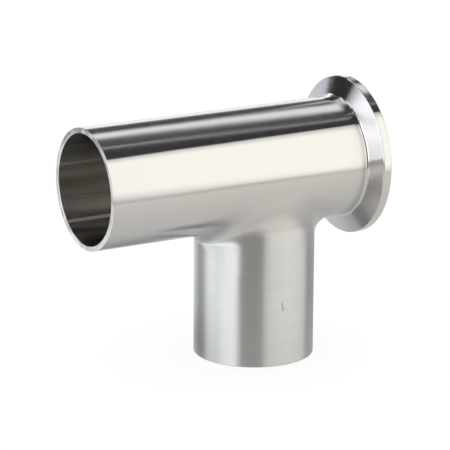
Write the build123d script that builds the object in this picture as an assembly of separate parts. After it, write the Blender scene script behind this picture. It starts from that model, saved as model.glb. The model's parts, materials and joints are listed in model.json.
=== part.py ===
"""Hygienic tee for 1 1/2 inch tube: a run with a weld end and a short clamp end, and a weld branch.

The run lies along X, with the clamp end toward +X, and the branch points down, toward -Z.
The origin is the crossing of their axes. Sizes are in millimetres, angles in degrees.
"""

from build123d import *
import math
import os

# Tube, of which run and branch are both made
tube_diameter = 38.1
tube_wall = 1.65

# Crotch, where the branch is drawn out of the run
crotch_radius = 6.35

# Straight lengths past the crotch: to the run's weld end, the branch's weld end and the clamp face
run_tangent = 34.925
branch_tangent = 34.925
clamp_tangent = 9.525

# Sharp edges, of the square-cut weld ends, the clamp end's bore and the groove's lips, are only broken
edge_break = 0.15

# Clamp rim, whose coned back the clamp ring pulls on
rim_height = 6.15
rim_thickness = 2.84
rim_edge_radius = 0.35
back_cone_angle = 20.0
cone_root_radius = 1.0

# Gasket groove, a round channel in the clamp face, with bare land between it and the rim's edge
rim_land = 1.18
groove_radius = 2.34
groove_depth = 1.59

# How far a cut runs past the metal that it opens
cut_overrun = 2.0

tube_radius = tube_diameter / 2
bore_radius = tube_radius - tube_wall
rim_radius = tube_radius + rim_height

# Reaches from the crossing of the axes
crotch_reach = tube_radius + crotch_radius
run_end_reach = crotch_reach + run_tangent
branch_end_reach = crotch_reach + branch_tangent
clamp_face_reach = crotch_reach + clamp_tangent


def crossed_bars(radius, blend_radius):
    """Bars of one radius along X and toward -Z, joined, with the crotch between them blended.

    Two bars of one radius meet in two half ellipses. The blend is what a ball leaves that rolls
    along them, and it runs out to nothing at the front and the back. All three arms reach past
    the tee's longest end, alike, so that the crotch is the same whatever the ends' lengths.
    """
    reach = max(run_end_reach, branch_end_reach, clamp_face_reach) + cut_overrun
    run_bar = Rot(0, 90, 0) * Cylinder(radius, 2 * reach)
    branch_bar = Cylinder(radius, reach, align=(Align.CENTER, Align.CENTER, Align.MAX))
    joined = run_bar + branch_bar
    crotch_edges = joined.edges().filter_by(GeomType.ELLIPSE)
    return fillet(crotch_edges, blend_radius)


def end_to_end_block():
    """A block whose sides lie on the tee's three ends, and which is clear of the tubes elsewhere."""
    block = Box(
        run_end_reach + clamp_face_reach,
        tube_diameter + 2 * cut_overrun,
        branch_end_reach + tube_radius + cut_overrun,
        align=(Align.MIN, Align.CENTER, Align.MIN),
    )
    return Pos(-run_end_reach, 0, -branch_end_reach) * block


def round_corner(section, corner, radius):
    """The section with the corner nearest to a point rounded."""
    return fillet(section.vertices().sort_by_distance(corner)[0], radius)


def rim_section():
    """Half section of the clamp rim in the XY plane: X runs along the run, Y is the radius."""
    rim_back = clamp_face_reach - rim_thickness
    cone_foot = rim_back - rim_height * math.tan(math.radians(back_cone_angle))
    # The section starts on the tube, past the end of the root's round, and halfway into the wall
    neck_start = cone_foot - cone_root_radius
    wall_middle = tube_radius - tube_wall / 2
    outline = Polyline(
        (neck_start, wall_middle),
        (neck_start, tube_radius),
        (cone_foot, tube_radius),
        (rim_back, rim_radius),
        (clamp_face_reach, rim_radius),
        (clamp_face_reach, wall_middle),
        close=True,
    )
    section = make_face(outline)
    section = round_corner(section, (cone_foot, tube_radius), cone_root_radius)
    section = round_corner(section, (rim_back, rim_radius), rim_edge_radius)
    section = round_corner(section, (clamp_face_reach, rim_radius), rim_edge_radius)

    # The groove is sunk into the face by its depth, outside edge at the land
    channel_centre = clamp_face_reach - groove_depth + groove_radius
    half_mouth = math.sqrt(groove_radius**2 - (groove_radius - groove_depth) ** 2)
    groove_middle = rim_radius - rim_land - half_mouth
    return section - Pos(channel_centre, groove_middle) * Circle(groove_radius)


def tee():
    """The tee's metal: both bars with the rim, the bores cut through, and sharp edges broken."""
    metal = crossed_bars(tube_radius, crotch_radius) & end_to_end_block()
    metal += revolve(rim_section(), Axis.X)
    metal -= crossed_bars(bore_radius, crotch_radius + tube_wall)

    rings = metal.edges().filter_by(GeomType.CIRCLE)
    run_end_edges = rings.group_by(Axis.X)[0]
    branch_end_edges = rings.group_by(Axis.Z)[0]
    bore_edge, *groove_lips, rim_round = rings.group_by(Axis.X)[-1].sort_by(SortBy.RADIUS)
    sharp_edges = [*run_end_edges, *branch_end_edges, bore_edge, *groove_lips]
    return chamfer(sharp_edges, edge_break)


os.makedirs("parts", exist_ok=True)
export_step(tee(), "parts/tee.step")
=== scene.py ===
"""Finish of a stainless steel tube tee with a clamp end, and the white studio that it stands in.

The run lies along X, with the clamp end toward +X, and the branch stands on the floor, toward -Z.
The origin is the crossing of their axes. Sizes are in metres.
"""

import json
import math

import bpy
from mathutils import Matrix, Vector


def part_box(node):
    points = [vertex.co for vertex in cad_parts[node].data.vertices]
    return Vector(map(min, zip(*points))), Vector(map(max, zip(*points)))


bl_info = {
    "name": "Clamp Tee",
    "version": (1, 0, 0),
    "blender": (4, 5, 0),
    "location": "3D View > Sidebar > Clamp Tee",
    "description": "Steel finish of a tube tee with a clamp end, and its studio",
    "category": "Object",
}

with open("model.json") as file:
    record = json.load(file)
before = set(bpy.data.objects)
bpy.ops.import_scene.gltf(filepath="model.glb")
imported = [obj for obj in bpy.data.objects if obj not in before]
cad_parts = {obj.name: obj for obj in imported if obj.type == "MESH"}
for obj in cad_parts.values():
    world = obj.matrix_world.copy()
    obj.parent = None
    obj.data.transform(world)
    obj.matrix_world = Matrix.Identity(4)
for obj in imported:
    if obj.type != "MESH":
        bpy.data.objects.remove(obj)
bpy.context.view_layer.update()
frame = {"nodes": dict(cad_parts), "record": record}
tee_low, tee_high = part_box("tee")

millimetre = 0.001

# The tee's own sizes: the bore and the ends from the frame, which doesn't name the tube's outside
mounts = {mount["name"]: mount for mount in frame["record"]["mounts"]}
bore_radius = mounts["run_bore"]["dims"]["r_mm"] * millimetre
tube_radius = 19.05 * millimetre
clamp_face = tee_high.x
run_end = tee_low.x
branch_end = tee_low.z

# How far under the run's axis the crotch's own look has come in fully
crotch_depth = 9.0 * millimetre

# How far the disc that the steel mirrors lies over the floor
table_lift = 0.2 * millimetre


class TeeFinish(bpy.types.PropertyGroup):
    """Colours and finishes of the steel"""

    steel_colour: bpy.props.FloatVectorProperty(
        name="Steel", description="Colour of the polished steel", subtype="COLOR",
        default=(0.60, 0.59, 0.575), min=0.0, max=1.0,
    )
    satin_colour: bpy.props.FloatVectorProperty(
        name="Satin Steel", description="Colour of the satin branch", subtype="COLOR",
        default=(0.65, 0.655, 0.635), min=0.0, max=1.0,
    )
    bore_colour: bpy.props.FloatVectorProperty(
        name="Bore", description="Colour of the steel inside the tubes", subtype="COLOR",
        default=(0.54, 0.52, 0.48), min=0.0, max=1.0,
    )
    cone_colour: bpy.props.FloatVectorProperty(
        name="Cone", description="Colour of the cone behind the clamp rim", subtype="COLOR",
        default=(0.57, 0.565, 0.55), min=0.0, max=1.0,
    )
    cut_colour: bpy.props.FloatVectorProperty(
        name="Turned Steel", description="Colour of the square-cut ends and the clamp face",
        subtype="COLOR", default=(0.585, 0.572, 0.553), min=0.0, max=1.0,
    )
    polish_roughness: bpy.props.FloatProperty(
        name="Polish", description="Roughness of the polished run and clamp end", subtype="FACTOR",
        default=0.14, min=0.0, max=1.0,
    )
    dressed_roughness: bpy.props.FloatProperty(
        name="Dressed Crotch", description="Roughness of the crotch, dressed by hand",
        subtype="FACTOR", default=0.40, min=0.0, max=1.0,
    )
    satin_roughness: bpy.props.FloatProperty(
        name="Satin", description="Roughness of the satin branch", subtype="FACTOR",
        default=0.38, min=0.0, max=1.0,
    )
    bore_roughness: bpy.props.FloatProperty(
        name="Bore Roughness", description="Roughness inside the tubes", subtype="FACTOR",
        default=0.20, min=0.0, max=1.0,
    )
    cut_roughness: bpy.props.FloatProperty(
        name="Turned Faces", description="Roughness of the square-cut ends and the clamp face",
        subtype="FACTOR", default=0.28, min=0.0, max=1.0,
    )
    seam_roughness: bpy.props.FloatProperty(
        name="Seam Roughness", description="Roughness of the ground seam lines in the bore",
        subtype="FACTOR", default=0.6, min=0.0, max=1.0,
    )
    grain: bpy.props.FloatProperty(
        name="Grain", description="How much further one way than the other the grain spreads light",
        subtype="FACTOR", default=1.0, min=0.0, max=1.0,
    )
    grain_depth: bpy.props.FloatProperty(
        name="Grain Depth", description="Height of the lines left by the belt", unit="LENGTH",
        subtype="DISTANCE", default=0.004 * millimetre, min=0.0, precision=6,
    )
    dressed_reach: bpy.props.FloatProperty(
        name="Dressing", description="How far from the other tube the crotch is dressed by hand",
        unit="LENGTH", subtype="DISTANCE", default=7.0 * millimetre, min=0.0,
    )
    satin_top: bpy.props.FloatProperty(
        name="Satin Top", description="How far under the run's axis the satin begins, in front",
        unit="LENGTH", subtype="DISTANCE", default=16.5 * millimetre, min=0.0,
    )
    satin_sag: bpy.props.FloatProperty(
        name="Satin Sag", description="How much lower the satin begins at the branch's sides",
        unit="LENGTH", subtype="DISTANCE", default=3.5 * millimetre, min=0.0,
    )


class TeeStudio(bpy.types.PropertyGroup):
    """Floor, light and camera"""

    floor_colour: bpy.props.FloatProperty(
        name="Floor", description="How pale the floor is under the light alone", subtype="FACTOR",
        default=0.28, min=0.0, max=1.0,
    )
    softbox_light: bpy.props.FloatProperty(
        name="Softbox", description="Brightness of the softbox in front, where white is 1",
        default=1.6, min=0.0,
    )
    # How bright the painted light and the painted shade are on the disc that the steel mirrors of
    # the floor
    table_light: bpy.props.FloatProperty(
        name="Table", description="How bright the steel mirrors the floor around, where white is 1",
        default=0.92, min=0.0,
    )
    table_shade: bpy.props.FloatProperty(
        name="Table Shade", description="The same under the run's weld end", default=0.62, min=0.0,
    )
    table_radius: bpy.props.FloatProperty(
        name="Table Size", description="How far round the tee the floor is mirrored darker",
        unit="LENGTH", subtype="DISTANCE", default=0.6, min=0.1,
    )
    camera_azimuth: bpy.props.FloatProperty(
        name="Azimuth", description="Camera's turn about Z, from straight in front",
        subtype="ANGLE", default=math.radians(-30.23),
    )
    camera_elevation: bpy.props.FloatProperty(
        name="Elevation", description="Camera's height over the horizon", subtype="ANGLE",
        default=math.radians(15.63),
    )
    camera_roll: bpy.props.FloatProperty(
        name="Roll", description="Camera's turn about its own line of sight", subtype="ANGLE",
        default=math.radians(0.39),
    )
    camera_distance: bpy.props.FloatProperty(
        name="Distance", description="From the camera to the tee, along the line of sight",
        unit="LENGTH", subtype="DISTANCE", default=0.909, min=0.1,
    )
    camera_aside: bpy.props.FloatProperty(
        name="Aside", description="Camera's shift to its own right", unit="LENGTH",
        subtype="DISTANCE", default=-9.37 * millimetre,
    )
    camera_aloft: bpy.props.FloatProperty(
        name="Aloft", description="Camera's shift to its own upper side", unit="LENGTH",
        subtype="DISTANCE", default=-18.52 * millimetre,
    )
    camera_lens: bpy.props.FloatProperty(
        name="Lens", description="Focal length in millimetres, on a 36 mm sensor", default=231.6,
        min=1.0,
    )


class NodeSheet:
    """A node tree, with short ways to add nodes and join them."""

    def __init__(self, tree):
        self.tree = tree
        tree.nodes.clear()

    def add(self, kind, **settings):
        """A new node with its own settings."""
        node = self.tree.nodes.new("ShaderNode" + kind)
        for name, value in settings.items():
            setattr(node, name, value)
        return node

    def join(self, source, target):
        """Link a socket to another, or set a plain value on it."""
        if isinstance(source, bpy.types.NodeSocket):
            self.tree.links.new(source, target)
        else:
            target.default_value = source

    def maths(self, operation, *values):
        node = self.add("Math", operation=operation)
        for value, socket in zip(values, node.inputs):
            self.join(value, socket)
        return node.outputs[0]

    def ramp_between(self, value, start, end):
        """0 where the value is at start, 1 where it is at end, and smooth between."""
        node = self.add("MapRange", interpolation_type="SMOOTHSTEP")
        for value_in, name in ((value, "Value"), (start, "From Min"), (end, "From Max")):
            self.join(value_in, node.inputs[name])
        return node.outputs[0]

    def mix_values(self, share, first, second):
        node = self.add("Mix", data_type="FLOAT")
        self.join(share, node.inputs["Factor"])
        self.join(first, node.inputs["A"])
        self.join(second, node.inputs["B"])
        return node.outputs["Result"]

    def mix_colours(self, share, first, second, blend_type="MIX"):
        node = self.add("Mix", data_type="RGBA", blend_type=blend_type)
        sockets = [socket for socket in node.inputs if socket.type == "RGBA"]
        self.join(share, node.inputs[0])
        self.join(first, sockets[0])
        self.join(second, sockets[1])
        return next(socket for socket in node.outputs if socket.type == "RGBA")

    def mix_vectors(self, share, first, second):
        """Between two directions, as a direction."""
        node = self.add("Mix", data_type="VECTOR")
        sockets = [socket for socket in node.inputs if socket.type == "VECTOR" and socket.enabled]
        self.join(share, node.inputs[0])
        self.join(first, sockets[0])
        self.join(second, sockets[1])
        straight = self.add("VectorMath", operation="NORMALIZE")
        mixed = next(socket for socket in node.outputs if socket.type == "VECTOR")
        self.join(mixed, straight.inputs[0])
        return straight.outputs[0]

    def round_axis(self, x, y, z):
        """How far a place is from a tube's axis, and the direction straight away from it."""
        offset = self.add("CombineXYZ")
        for value, socket in zip((x, y, z), offset.inputs):
            self.join(value, socket)
        length = self.add("VectorMath", operation="LENGTH")
        self.join(offset.outputs[0], length.inputs[0])
        straight = self.add("VectorMath", operation="NORMALIZE")
        self.join(offset.outputs[0], straight.inputs[0])
        return length.outputs["Value"], straight.outputs[0]

    def split(self, vector):
        node = self.add("SeparateXYZ")
        self.join(vector, node.inputs[0])
        return node.outputs

    def group(self, tree, **inputs):
        """The outputs of a node group. Its inputs go by name, such as satin_top for Satin Top."""
        node = self.add("Group", node_tree=tree)
        for name, value in inputs.items():
            self.join(value, node.inputs[name.replace("_", " ").title()])
        return node.outputs

    def show(self, shader, output_kind="OutputMaterial"):
        """Make a shader what the tree shows."""
        output = self.add(output_kind)
        self.join(shader.outputs[0], output.inputs["Surface"])


def new_material(name):
    """An empty material, as (material, sheet)."""
    material = bpy.data.materials.new(name)
    material.use_nodes = True
    return material, NodeSheet(material.node_tree)


def new_group(name, inputs, outputs):
    """An empty node group with the named sockets, as (sheet, input node, output node)."""
    tree = bpy.data.node_groups.new(name, "ShaderNodeTree")
    for socket_name, kind in inputs:
        tree.interface.new_socket(socket_name, in_out="INPUT", socket_type="NodeSocket" + kind)
    for socket_name, kind in outputs:
        tree.interface.new_socket(socket_name, in_out="OUTPUT", socket_type="NodeSocket" + kind)
    sheet = NodeSheet(tree)
    return sheet, tree.nodes.new("NodeGroupInput"), tree.nodes.new("NodeGroupOutput")


def colour(rgb):
    """A colour as sockets take it, with full alpha."""
    return (*rgb, 1.0)


def zones_group():
    """Masks of the tee's zones, by place and by which way the surface faces."""
    border_softness = 0.4 * millimetre
    crotch_start, crotch_clear = 0.8 * millimetre, 2.2 * millimetre
    inward_start, inward_end = 1.0 * millimetre, 4.0 * millimetre
    end_depth = 0.2 * millimetre
    face_depth = 2.0 * millimetre
    cone_depth = 7.0 * millimetre
    # How squarely the clamp face looks along +X, and the cone along -X, from where each begins
    face_squareness, cone_squareness = (0.3, 0.6), (-0.75, -0.88)

    sheet, given, made = new_group(
        "Tee Zones",
        [("Place", "Vector"), ("Facing", "Vector"), ("Satin Top", "Float"), ("Satin Sag", "Float")],
        [("Satin", "Float"), ("Inside", "Float"), ("Cut", "Float"), ("Cone", "Float")],
    )
    x, y, z = sheet.split(given.outputs["Place"])
    facing_x, facing_y, facing_z = sheet.split(given.outputs["Facing"])

    # The satin begins along a line that sags toward the branch's sides, and keeps off the run
    aside = sheet.maths("DIVIDE", x, tube_radius)
    sag = sheet.maths("MULTIPLY", sheet.maths("MULTIPLY", aside, aside), given.outputs["Satin Sag"])
    depth = sheet.maths("MULTIPLY", z, -1.0)
    under_top = sheet.maths("SUBTRACT", depth, given.outputs["Satin Top"])
    under_top = sheet.maths("SUBTRACT", under_top, sag)
    low_enough = sheet.ramp_between(under_top, -border_softness, border_softness)
    from_branch, _ = sheet.round_axis(x, y, 0.0)
    on_branch = sheet.ramp_between(from_branch, tube_radius + crotch_clear,
                                   tube_radius + crotch_start)
    satin = sheet.maths("MULTIPLY", low_enough, on_branch)

    # Inside, the surface faces the axis of its own tube, which changes at the crotch's mitre
    in_branch = sheet.maths("GREATER_THAN", depth, sheet.maths("ABSOLUTE", x))
    out_x = sheet.maths("MULTIPLY", x, in_branch)
    out_z = sheet.maths("MULTIPLY", z, sheet.maths("SUBTRACT", 1.0, in_branch))
    outward = sheet.maths("ADD", sheet.maths("MULTIPLY", facing_x, out_x),
                          sheet.maths("MULTIPLY", facing_y, y))
    outward = sheet.maths("ADD", outward, sheet.maths("MULTIPLY", facing_z, out_z))
    inside = sheet.ramp_between(outward, -inward_start, -inward_end)

    # The square-cut ends are turned, and so is the clamp face with its groove
    at_run_end = sheet.maths("LESS_THAN", x, run_end + end_depth)
    at_branch_end = sheet.maths("LESS_THAN", z, branch_end + end_depth)
    at_clamp_face = sheet.maths("MULTIPLY", sheet.maths("GREATER_THAN", x, clamp_face - face_depth),
                                sheet.ramp_between(facing_x, *face_squareness))
    cut = sheet.maths("MAXIMUM", sheet.maths("MAXIMUM", at_run_end, at_branch_end), at_clamp_face)

    # The cone behind the clamp rim faces back along the run
    cone = sheet.maths("MULTIPLY", sheet.ramp_between(facing_x, *cone_squareness),
                       sheet.maths("GREATER_THAN", x, clamp_face - cone_depth))

    satin_outside = sheet.maths("MULTIPLY", satin, sheet.maths("SUBTRACT", 1.0, inside))
    sheet.join(satin_outside, made.inputs["Satin"])
    sheet.join(inside, made.inputs["Inside"])
    sheet.join(cut, made.inputs["Cut"])
    sheet.join(cone, made.inputs["Cone"])
    return sheet.tree


def grain_group():
    """Fine lines left by a belt or a tool: long their own way, and close together across it."""
    sheet, given, made = new_group(
        "Grain Lines",
        [("Across", "Float"), ("Place", "Vector"), ("Spacing", "Float"), ("Length", "Float")],
        [("Height", "Float")],
    )
    x, y, z = sheet.split(given.outputs["Place"])
    across = sheet.maths("DIVIDE", given.outputs["Across"], given.outputs["Spacing"])
    along = sheet.add("CombineXYZ")
    sheet.join(across, along.inputs["X"])
    for value, name in ((sheet.maths("ADD", x, z), "Y"), (y, "Z")):
        sheet.join(sheet.maths("DIVIDE", value, given.outputs["Length"]), along.inputs[name])
    noise = sheet.add("TexNoise")
    sheet.join(along.outputs[0], noise.inputs["Vector"])
    noise.inputs["Scale"].default_value = 1.0
    noise.inputs["Detail"].default_value = 3.0
    sheet.join(noise.outputs["Fac"], made.inputs["Height"])
    return sheet.tree


def seam_and_sheen_group():
    """Two fine ground lines that run along the bore behind, one over its axis and one under, where
    the steel is rougher and lighter in colour as a painted highlight.
    """
    sheet, given, made = new_group("Seam Lines and Sheen", [("Place", "Vector"), ("Inside", "Float")],
                                   [("Share", "Float")])
    _, y, z = sheet.split(given.outputs["Place"])
    lines = ((-47.7, 1.0 * millimetre, 0.55), (13.6, 0.9 * millimetre, 0.16))
    share = 0.0
    for degrees_up, half_width, strength in lines:
        turn = math.radians(degrees_up)
        aside = sheet.maths("SUBTRACT", y, bore_radius * math.cos(turn))
        aloft = sheet.maths("SUBTRACT", z, bore_radius * math.sin(turn))
        away, _ = sheet.round_axis(0.0, aside, aloft)
        near = sheet.ramp_between(away, half_width, 0.0)
        share = sheet.maths("ADD", share, sheet.maths("MULTIPLY", near, strength))
    sheet.join(sheet.maths("MULTIPLY", share, given.outputs["Inside"]), made.inputs["Share"])
    return sheet.tree


def nick_group():
    """A short slanted nick low on the front of the branch."""
    middle_x, middle_z, slant = -0.7 * millimetre, -41.0 * millimetre, 0.16
    half_width, deepest_width = 0.27 * millimetre, 0.06 * millimetre
    half_length, deepest_length = 1.8 * millimetre, 0.9 * millimetre

    sheet, given, made = new_group("Nick", [("Place", "Vector")], [("Depth", "Float")])
    x, y, z = sheet.split(given.outputs["Place"])
    below = sheet.maths("SUBTRACT", middle_z, z)
    middle = sheet.maths("ADD", sheet.maths("MULTIPLY", below, slant), middle_x)
    aside = sheet.maths("ABSOLUTE", sheet.maths("SUBTRACT", x, middle))
    wide = sheet.ramp_between(aside, half_width, deepest_width)
    long = sheet.ramp_between(sheet.maths("ABSOLUTE", below), half_length, deepest_length)
    in_front = sheet.maths("LESS_THAN", y, 0.0)
    nick = sheet.maths("MULTIPLY", sheet.maths("MULTIPLY", wide, long), in_front)
    sheet.join(nick, made.inputs["Depth"])
    return sheet.tree


def crotch_group():
    """How the surface faces, and how dull it is, where the crotch is dressed by hand.

    Round the tubes' mitre, the way that the run faces turns softly into the way of the branch.
    """
    # Where the turn begins and ends, in reaches from the mitre: below 0 lies the run
    turn_start, turn_end = -1.0, 0.8
    # How far along the run, from the branch, the dressing goes, and how far under the run's axis
    dressed_length, dullest_length = 16.0 * millimetre, 2.0 * millimetre
    dressed_depth, dullest_depth = 2.0 * millimetre, 14.0 * millimetre
    # The flange is left out, and so are the run's upper half and the branch's lower part
    flange_clearance = 8.0 * millimetre
    height_start, height_end = 5.0 * millimetre, 3.0 * millimetre
    lowest_depth = 1.6 * tube_radius

    sheet, given, made = new_group(
        "Dressed Crotch",
        [("Place", "Vector"), ("Facing", "Vector"), ("Inside", "Float"), ("Reach", "Float")],
        [("Facing", "Vector"), ("Dressed", "Float")],
    )
    x, y, z = sheet.split(given.outputs["Place"])
    from_run, run_facing = sheet.round_axis(0.0, y, z)
    from_branch, branch_facing = sheet.round_axis(x, y, 0.0)
    depth = sheet.maths("MULTIPLY", z, -1.0)
    reach = given.outputs["Reach"]
    past_mitre = sheet.maths("SUBTRACT", from_run, from_branch)
    turned = sheet.ramp_between(past_mitre, sheet.maths("MULTIPLY", reach, turn_start),
                                sheet.maths("MULTIPLY", reach, turn_end))
    turned = sheet.maths("MULTIPLY", turned, sheet.ramp_between(depth, 0.0, crotch_depth))
    blended = sheet.mix_vectors(turned, run_facing, branch_facing)

    clear_of_flange = sheet.maths("LESS_THAN", sheet.maths("ABSOLUTE", x),
                                  tube_radius + flange_clearance)
    under_top = sheet.ramp_between(depth, -height_start, -height_end)
    near = sheet.maths("MULTIPLY", clear_of_flange, under_top)
    near = sheet.maths("MULTIPLY", near, sheet.maths("LESS_THAN", depth, lowest_depth))
    near = sheet.maths("MULTIPLY", near, sheet.maths("SUBTRACT", 1.0, given.outputs["Inside"]))
    sheet.join(sheet.mix_vectors(near, given.outputs["Facing"], blended), made.inputs["Facing"])

    close = sheet.ramp_between(from_branch, tube_radius + dressed_length,
                               tube_radius + dullest_length)
    under = sheet.ramp_between(depth, dressed_depth, dullest_depth)
    dressed = sheet.maths("MULTIPLY", sheet.maths("MULTIPLY", close, under), clear_of_flange)
    sheet.join(dressed, made.inputs["Dressed"])
    return sheet.tree


def steel_material(finish):
    """Polished run and clamp end, satin branch, duller bore and turned ends, all of one steel."""
    # How much the brushing and the nick darken the steel, and how much the broad lines dull it
    brushed_share, nick_share, broad_share = 0.07, 0.45, 0.05
    brushed_grey = (0.3, 0.3, 0.3)
    # Between these heights of the brushed lines, the satin darkens
    high_line, low_line = 0.65, 0.35
    # Heights of the relief, in grain depths: the polished run's fine lines, the waviness, the nick
    polished_lines, waviness, nick_depth = 0.15, 15.0, 60.0

    material, sheet = new_material("stainless_steel")
    texture_place = sheet.add("TexCoord")
    place, facing = texture_place.outputs["Object"], texture_place.outputs["Normal"]
    x, y, z = sheet.split(place)

    satin, inside, cut, cone = sheet.group(
        zones_group(), place=place, facing=facing,
        satin_top=finish.satin_top, satin_sag=finish.satin_sag,
    )
    dressed = sheet.group(crotch_group(), place=place, facing=facing, inside=inside,
                          reach=finish.dressed_reach)
    nick = sheet.group(nick_group(), place=place)["Depth"]
    seam_and_sheen = sheet.group(seam_and_sheen_group(), place=place, inside=inside)["Share"]

    # Three sets of lines round each tube, each with its spacing and length, and a slight waviness
    lines = grain_group()
    across = sheet.mix_values(satin, x, z)
    fine, brushed, broad = (
        sheet.group(lines, across=across, place=place, spacing=spacing, length=length)["Height"]
        for spacing, length in (
            (0.35 * millimetre, 40.0 * millimetre),
            (0.6 * millimetre, 25.0 * millimetre),
            (2.2 * millimetre, 16.0 * millimetre),
        )
    )
    wavy = sheet.add("TexNoise")
    sheet.join(place, wavy.inputs["Vector"])
    wavy.inputs["Scale"].default_value = 70.0
    wavy.inputs["Detail"].default_value = 1.0

    # Colour
    shown = sheet.mix_colours(satin, colour(finish.steel_colour), colour(finish.satin_colour))
    dark_lines = sheet.maths("MULTIPLY", sheet.ramp_between(brushed, high_line, low_line), satin)
    shown = sheet.mix_colours(sheet.maths("MULTIPLY", dark_lines, brushed_share), shown,
                              colour(brushed_grey))
    shown = sheet.mix_colours(inside, shown, colour(finish.bore_colour))
    shown = sheet.mix_colours(cone, shown, colour(finish.cone_colour))
    shown = sheet.mix_colours(cut, shown, colour(finish.cut_colour))
    # Along the seam lines the lighter turned colour is a painted highlight
    shown = sheet.mix_colours(seam_and_sheen, shown, colour(finish.cut_colour))
    shown = sheet.mix_colours(sheet.maths("MULTIPLY", nick, nick_share), shown,
                              colour(finish.bore_colour), blend_type="MULTIPLY")

    # Roughness
    rough = sheet.mix_values(dressed["Dressed"], finish.polish_roughness, finish.dressed_roughness)
    rough = sheet.mix_values(satin, rough, finish.satin_roughness)
    rough = sheet.mix_values(inside, rough, finish.bore_roughness)
    rough = sheet.mix_values(cut, rough, finish.cut_roughness)
    uneven = sheet.maths("MULTIPLY", sheet.maths("SUBTRACT", broad, 0.5), broad_share)
    rough = sheet.maths("ADD", rough, uneven)
    rough = sheet.mix_values(seam_and_sheen, rough, finish.seam_roughness)

    # The grain runs around each tube, so it spreads light along the tube's axis
    from_run, _ = sheet.round_axis(0.0, y, z)
    from_branch, _ = sheet.round_axis(x, y, 0.0)
    branch = sheet.ramp_between(sheet.maths("SUBTRACT", from_run, from_branch), 0.0,
                                finish.dressed_reach)
    branch = sheet.maths("MULTIPLY", branch, sheet.ramp_between(z, 0.0, -crotch_depth))
    spread = sheet.add("CombineXYZ")
    sheet.join(sheet.maths("SUBTRACT", 1.0, branch), spread.inputs["X"])
    sheet.join(branch, spread.inputs["Z"])

    # Relief, outside only
    relief = sheet.add("Bump")
    relief.inputs["Strength"].default_value = 1.0
    relief.inputs["Distance"].default_value = finish.grain_depth
    height = sheet.mix_values(satin, sheet.maths("MULTIPLY", fine, polished_lines), fine)
    height = sheet.maths("ADD", height, broad)
    height = sheet.maths("ADD", height, sheet.maths("MULTIPLY", wavy.outputs["Fac"], waviness))
    height = sheet.maths("MULTIPLY", height, sheet.maths("SUBTRACT", 1.0, inside))
    height = sheet.maths("SUBTRACT", height, sheet.maths("MULTIPLY", nick, nick_depth))
    sheet.join(height, relief.inputs["Height"])
    sheet.join(dressed["Facing"], relief.inputs["Normal"])

    steel = sheet.add("BsdfPrincipled")
    steel.inputs["Metallic"].default_value = 1.0
    steel.inputs["Anisotropic"].default_value = finish.grain
    sheet.join(shown, steel.inputs["Base Color"])
    sheet.join(rough, steel.inputs["Roughness"])
    sheet.join(spread.outputs[0], steel.inputs["Tangent"])
    sheet.join(relief.outputs["Normal"], steel.inputs["Normal"])
    sheet.show(steel)
    return material


class TEE_OT_steel(bpy.types.Operator):
    """Give the tee its polished and satin steel"""

    bl_idname = "tee.steel"
    bl_label = "Finish the Steel"

    def execute(self, context):
        tee = frame["nodes"]["tee"]
        tee.material_slots[0].material = steel_material(context.scene.tee_finish)
        return {"FINISHED"}


def seen_directly(sheet):
    """1 for rays from the camera, and for mirrored and refracted ones, as metal and glass send."""
    path = sheet.add("LightPath")
    seen = sheet.maths("MAXIMUM", path.outputs["Is Camera Ray"], path.outputs["Is Glossy Ray"])
    return sheet.maths("MAXIMUM", seen, path.outputs["Is Transmission Ray"])


def make_glow(material, sheet, shown):
    """Let a material only glow. It isn't sampled as a lamp, since only the steel mirrors it."""
    material.cycles.emission_sampling = "NONE"
    glow = sheet.add("Emission")
    sheet.join(shown, glow.inputs["Color"])
    sheet.show(glow)


def glow_material(name, strength, tint, fade, beyond):
    """A surface that only glows, for the cards that the steel mirrors.

    Toward the card's low and high edge it fades, over the given share of its width, to the grey
    that lies beyond that edge.
    """
    material, sheet = new_material(name)
    across = sheet.split(sheet.add("TexCoord").outputs["UV"])["Y"]
    shown = colour([strength * channel for channel in tint])
    for edge, width, grey in ((0.0, fade[0], beyond[0]), (1.0, -fade[1], beyond[1])):
        if width:
            share = sheet.ramp_between(across, edge, edge + width)
            shown = sheet.mix_colours(share, colour([grey] * 3), shown)
    make_glow(material, sheet, shown)
    return material


def hide_from_camera(card):
    """Leave a card to the steel's reflections alone."""
    card.visible_camera = False
    card.visible_diffuse = False
    card.visible_shadow = False


def add_card(name, axis, distance, stations, strength, tint=(1.0, 1.0, 1.0), fade=(0.0, 0.0),
             beyond=(1.0, 1.0)):
    """A card bent round the run or the branch: a softbox, a strip of light, or a flag against it.

    Each station is a place along the axis, with the card's low and high edge there, in degrees
    round the axis. Round the run they count from level in front, upward. Round the branch they
    are bearings, from straight in front toward the clamp end.
    """
    lengths, turns = len(stations) - 1, 16
    bpy.ops.object.select_all(action="DESELECT")
    bpy.ops.mesh.primitive_grid_add(x_subdivisions=lengths, y_subdivisions=turns, size=1.0)
    card = bpy.context.object
    card.name = name
    for corner in card.data.vertices:
        along, low, high = stations[round((corner.co.x + 0.5) * lengths)]
        angle = math.radians(low + (high - low) * (corner.co.y + 0.5))
        if axis == "run":
            corner.co = (along, -distance * math.cos(angle), distance * math.sin(angle))
        else:
            corner.co = (distance * math.sin(angle), -distance * math.cos(angle), along)
    card.data.materials.append(glow_material(name, strength, tint, fade, beyond))
    hide_from_camera(card)


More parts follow.
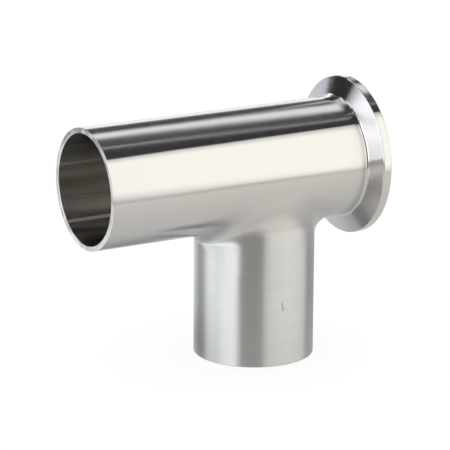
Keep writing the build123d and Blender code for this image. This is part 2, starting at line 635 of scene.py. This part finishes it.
def add_cards(studio):
    """The cards that the steel mirrors: softbox, strips, flags, and glints on the cone's root."""
    cream = (1.0, 0.98, 0.935)
    cool = (0.96, 0.98, 1.04)
    lavender = (0.96, 0.97, 1.07)

    # Round the run: the softbox in front, and strips between flags overhead and behind
    add_card("softbox_front", "run", 0.30,
             [(0.0, -12, 63), (0.09, -13, 63.8), (0.18, -28, 68.6), (1.0, -33, 73.2)],
             studio.softbox_light, cream, fade=(0.24, 0.12))
    add_card("flag_overhead_near", "run", 0.30,
             [(-0.3, 64.2, 89.6), (0.09, 64.2, 88.3), (0.18, 68.8, 82.8), (1.0, 73.4, 80)], 0.055)
    add_card("flag_overhead_far", "run", 0.30,
             [(-0.3, 90.9, 119), (0.10, 90.1, 118), (0.19, 84.2, 109), (1.0, 84, 105)], 0.10, cool,
             fade=(0.0, 0.35))
    add_card("strip_overhead", "run", 0.60, [(-0.3, 100, 145), (1.2, 100, 145)], 1.26)
    add_card("flag_overhead_rear", "run", 0.50,
             [(-0.3, 126, 158), (0.20, 126, 158), (0.31, 122, 158), (1.2, 122, 158)], 0.09, cool,
             fade=(0.33, 0.05), beyond=(1.26, 1.26))
    add_card("strip_rear", "run", 0.50, [(-0.3, 159, 172), (1.2, 159, 172)], 1.36, cool)

    # Round the branch: a wide strip at the left, brighter low down and toward the front
    add_card("strip_left", "branch", 0.50, [(-0.06, -140, -57), (0.6, -140, -57)], 1.38, cool,
             fade=(0.07, 0.0), beyond=(0.05, 1.0))
    add_card("strip_left_low", "branch", 0.44, [(-0.06, -140, -85), (0.14, -140, -85)], 1.90, cool,
             fade=(0.27, 0.4), beyond=(0.05, 1.38))
    add_card("strip_left_front", "branch", 0.42, [(-0.06, -104, -60), (0.40, -104, -60)], 2.8, cool,
             fade=(0.45, 0.1), beyond=(1.80, 1.38))
    add_card("flag_front_left", "branch", 0.22, [(-0.06, -56, -10), (0.45, -56, -10)], 0.04,
             fade=(0.01, 0.06))

    # Behind the branch and at its right: what the clamp end's cone and the far sides mirror
    add_card("flag_rear", "branch", 0.32,
             [(-0.06, 196, 220), (0.10, 196, 220), (0.16, 172, 220), (0.45, 165, 220)], 0.045)
    add_card("glint_low", "branch", 0.30, [(0.10, 172, 192), (0.15, 172, 192)], 2.8)
    add_card("glint_high", "branch", 0.30, [(0.29, 182, 206), (0.36, 182, 206)], 2.8)
    add_card("strip_behind", "branch", 0.33, [(-0.06, 168, 195.5), (0.45, 168, 195.5)], 0.95,
             lavender)
    add_card("flag_right", "branch", 0.28, [(-0.06, 79, 140), (0.2, 79, 140)], 0.01,
             fade=(0.08, 0.1))


def table_material(studio):
    """What the steel mirrors of the floor close by: a glowing grey of painted light and shade,
    darker under the run's weld end.
    """
    # The darkest place of the painted shade, how fast it lightens to the left and to the right, and
    # where it has passed
    dark_x, dark_y = 0.75 * run_end, 0.01
    leftward_rate, rightward_rate, dark_reach = 1.3, 0.4, 0.20
    # Spots, as place, radius and change: light falls in from the left beside the weld end, and the
    # tee's own shade lies behind the branch and under the run
    spots = (
        ((-0.15, 0.032), 0.13, 1.5),
        ((-0.016, 0.038), 0.040, -0.24),
        ((-0.031, 0.022), 0.046, -0.23),
    )
    # The softbox's foot, whose thin shade ends where its light spills over to the right
    foot_y, foot_width, foot_core, foot_shade = -0.215, 0.035, 0.012, 0.16
    spill_left, spill_right, spill_back, spill_front, spill_light = 0.12, 0.165, -0.17, -0.25, 0.35

    # Painted light and shade, warm in front and cool behind, and where the one gives way to the
    # other
    warm, cool = (1.0, 0.965, 0.925), (0.97, 0.995, 1.03)
    warm_back, cool_front = -0.08, 0.03
    # From this share of the radius outward the table fades to the white that the floor is past it
    fade_start = 0.6

    material, sheet = new_material("table")
    place = sheet.add("TexCoord").outputs["Object"]
    x, y, _ = sheet.split(place)

    from_dark = sheet.maths("SUBTRACT", x, dark_x)
    leftward = sheet.maths("MULTIPLY", sheet.maths("MINIMUM", from_dark, 0.0), -leftward_rate)
    rightward = sheet.maths("MULTIPLY", sheet.maths("MAXIMUM", from_dark, 0.0), rightward_rate)
    across = sheet.maths("ABSOLUTE", sheet.maths("SUBTRACT", y, dark_y))
    away = sheet.maths("ADD", sheet.maths("ADD", leftward, rightward), across)
    away = sheet.maths("SQRT", sheet.maths("MINIMUM", sheet.maths("DIVIDE", away, dark_reach), 1.0))
    level = sheet.mix_values(away, studio.table_shade, studio.table_light)

    for (spot_x, spot_y), radius, change in spots:
        spot = sheet.add("VectorMath", operation="DISTANCE")
        sheet.join(place, spot.inputs[0])
        spot.inputs[1].default_value = (spot_x, spot_y, branch_end + table_lift)
        share = sheet.ramp_between(spot.outputs["Value"], radius, 0.0)
        level = sheet.maths("ADD", level, sheet.maths("MULTIPLY", share, change))

    right = sheet.ramp_between(x, spill_left, spill_right)
    from_foot = sheet.maths("ABSOLUTE", sheet.maths("SUBTRACT", y, foot_y))
    foot = sheet.maths("MULTIPLY", sheet.ramp_between(from_foot, foot_width, foot_core),
                       sheet.maths("SUBTRACT", 1.0, right))
    level = sheet.maths("SUBTRACT", level, sheet.maths("MULTIPLY", foot, foot_shade))
    spill = sheet.maths("MULTIPLY", sheet.ramp_between(y, spill_back, spill_front), right)
    level = sheet.maths("ADD", level, sheet.maths("MULTIPLY", spill, spill_light))

    behind = sheet.ramp_between(y, warm_back, cool_front)
    tint = sheet.mix_colours(behind, colour(warm), colour(cool))
    shown = sheet.add("VectorMath", operation="SCALE")
    sheet.join(tint, shown.inputs[0])
    sheet.join(level, shown.inputs["Scale"])
    outward = sheet.add("VectorMath", operation="LENGTH")
    sheet.join(place, outward.inputs[0])
    edge = sheet.ramp_between(outward.outputs["Value"], fade_start * studio.table_radius,
                              studio.table_radius)
    make_glow(material, sheet, sheet.mix_colours(edge, shown.outputs[0], colour((1.0, 1.0, 1.0))))
    return material


def add_table(studio):
    """A disc just over the floor, glowing with painted light and shade, which only the steel
    mirrors.
    """
    bpy.ops.object.select_all(action="DESELECT")
    bpy.ops.mesh.primitive_circle_add(vertices=64, radius=studio.table_radius, fill_type="NGON")
    table = bpy.context.object
    table.name = "table"
    table.data.transform(Matrix.Translation((0.0, 0.0, branch_end + table_lift)))
    table.data.materials.append(table_material(studio))
    hide_from_camera(table)


def add_floor(studio):
    """A pale floor that keeps the tee's shadow, and is white to the camera away from it."""
    floor_size, floor_white = 12.0, 1.04
    bpy.ops.object.select_all(action="DESELECT")
    bpy.ops.mesh.primitive_plane_add(size=floor_size)
    floor = bpy.context.object
    floor.name = "floor"
    floor.data.transform(Matrix.Translation((0.0, 0.0, branch_end)))
    material, sheet = new_material("floor")
    paint = sheet.add("BsdfPrincipled")
    paint.inputs["Base Color"].default_value = colour([studio.floor_colour] * 3)
    paint.inputs["Roughness"].default_value = 1.0
    paint.inputs["Specular IOR Level"].default_value = 0.0
    paint.inputs["Emission Color"].default_value = colour((1.0, 1.0, 1.0))
    lift = sheet.maths("MULTIPLY", seen_directly(sheet), floor_white - studio.floor_colour)
    sheet.join(lift, paint.inputs["Emission Strength"])
    sheet.show(paint)
    floor.data.materials.append(material)


def add_world():
    """Even white light from all around, which the camera and the steel see as plain white."""
    world = bpy.data.worlds.new("studio")
    bpy.context.scene.world = world
    world.use_nodes = True
    sheet = NodeSheet(world.node_tree)
    both = sheet.add("MixShader")
    sheet.join(seen_directly(sheet), both.inputs[0])
    # What lights the tee, and what is seen of it
    for tint, target in zip(((0.98, 0.99, 1.0), (1.0, 1.0, 1.0)), both.inputs[1:3]):
        light = sheet.add("Background")
        light.inputs["Color"].default_value = colour(tint)
        light.inputs["Strength"].default_value = 1.0
        sheet.join(light.outputs[0], target)
    sheet.show(both, "OutputWorld")


def add_camera(studio):
    """The camera, at its bearing and height, looking past the tee's origin by its two shifts."""
    data = bpy.data.cameras.new("camera")
    data.lens = studio.camera_lens
    data.sensor_width = 36.0
    data.clip_start = 0.05
    camera = bpy.data.objects.new("camera", data)
    bpy.context.scene.collection.objects.link(camera)
    turn = (
        Matrix.Rotation(studio.camera_azimuth, 4, "Z")
        @ Matrix.Rotation(math.pi / 2 - studio.camera_elevation, 4, "X")
        @ Matrix.Rotation(studio.camera_roll, 4, "Z")
    )
    place = Vector((studio.camera_aside, studio.camera_aloft, studio.camera_distance))
    camera.matrix_world = turn @ Matrix.Translation(place)
    bpy.context.scene.camera = camera


class TEE_OT_stage(bpy.types.Operator):
    """Add the floor, the light, the cards that the steel mirrors, and the camera"""

    bl_idname = "tee.stage"
    bl_label = "Set the Stage"

    def execute(self, context):
        studio = context.scene.tee_studio
        add_floor(studio)
        add_world()
        add_table(studio)
        add_cards(studio)
        add_camera(studio)
        context.scene.view_settings.view_transform = "Standard"
        return {"FINISHED"}


class TEE_PT_panel(bpy.types.Panel):
    """Sidebar panel with the tee's operators and settings"""

    bl_idname = "TEE_PT_panel"
    bl_label = "Clamp Tee"
    bl_space_type = "VIEW_3D"
    bl_region_type = "UI"
    bl_category = "Clamp Tee"

    def draw(self, context):
        for operator, group in ((TEE_OT_steel, "tee_finish"), (TEE_OT_stage, "tee_studio")):
            settings = getattr(context.scene, group)
            box = self.layout.box()
            box.operator(operator.bl_idname)
            for name in settings.__annotations__:
                box.prop(settings, name)


classes = (TeeFinish, TeeStudio, TEE_OT_steel, TEE_OT_stage, TEE_PT_panel)


def register():
    for cls in classes:
        bpy.utils.register_class(cls)
    bpy.types.Scene.tee_finish = bpy.props.PointerProperty(type=TeeFinish)
    bpy.types.Scene.tee_studio = bpy.props.PointerProperty(type=TeeStudio)


def unregister():
    del bpy.types.Scene.tee_studio
    del bpy.types.Scene.tee_finish
    for cls in reversed(classes):
        bpy.utils.unregister_class(cls)


def main():
    register()
    bpy.ops.tee.steel()
    bpy.ops.tee.stage()


if __name__ == "__main__":
    main()
